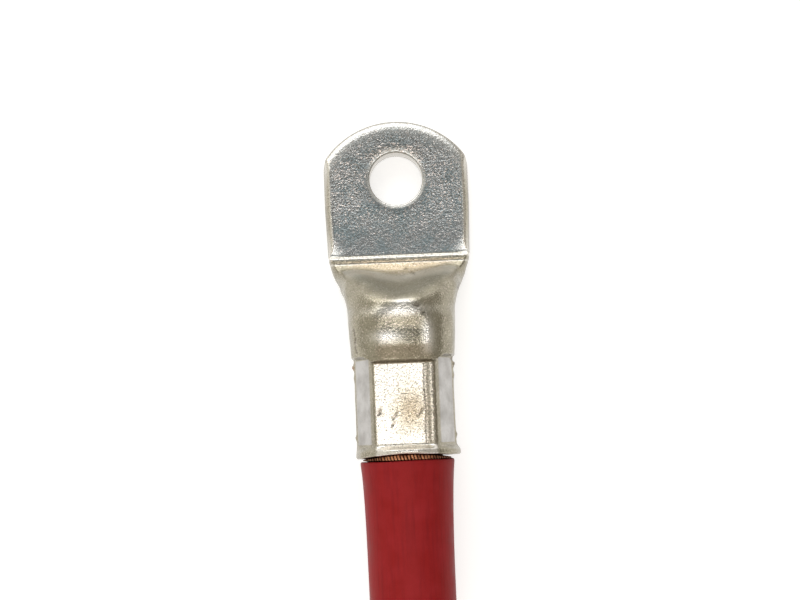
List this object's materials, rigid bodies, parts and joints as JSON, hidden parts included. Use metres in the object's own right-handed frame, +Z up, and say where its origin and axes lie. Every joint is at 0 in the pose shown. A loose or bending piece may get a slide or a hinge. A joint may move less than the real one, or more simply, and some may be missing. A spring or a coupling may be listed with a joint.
{
  "type": "crimped copper cable lug",
  "caption": "Tin-plated copper tubular cable lug with a pressed palm and stud hole, hexagon-crimped onto the stranded end of a red PVC-insulated cable.",
  "frame": {"origin": "axis of the stud hole on the palm's contact plane", "axes": "+Z up out of the contact plane along the stud hole, +Y towards the rounded tip of the palm, the barrel and the cable run along -Y, +X across the palm"},
  "size_m": [0.023, 0.0798, 0.0167],
  "materials": {
    "tinned_copper": "bright tin plate over copper, satin on the pressed palm",
    "bare_copper": "drawn copper wire",
    "red_pvc": "semi-matte extruded PVC"
  },
  "bodies": {
    "root": {"lug": "tinned_copper", "conductor": "bare_copper", "insulation": "red_pvc"}
  },
  "joints": []
}
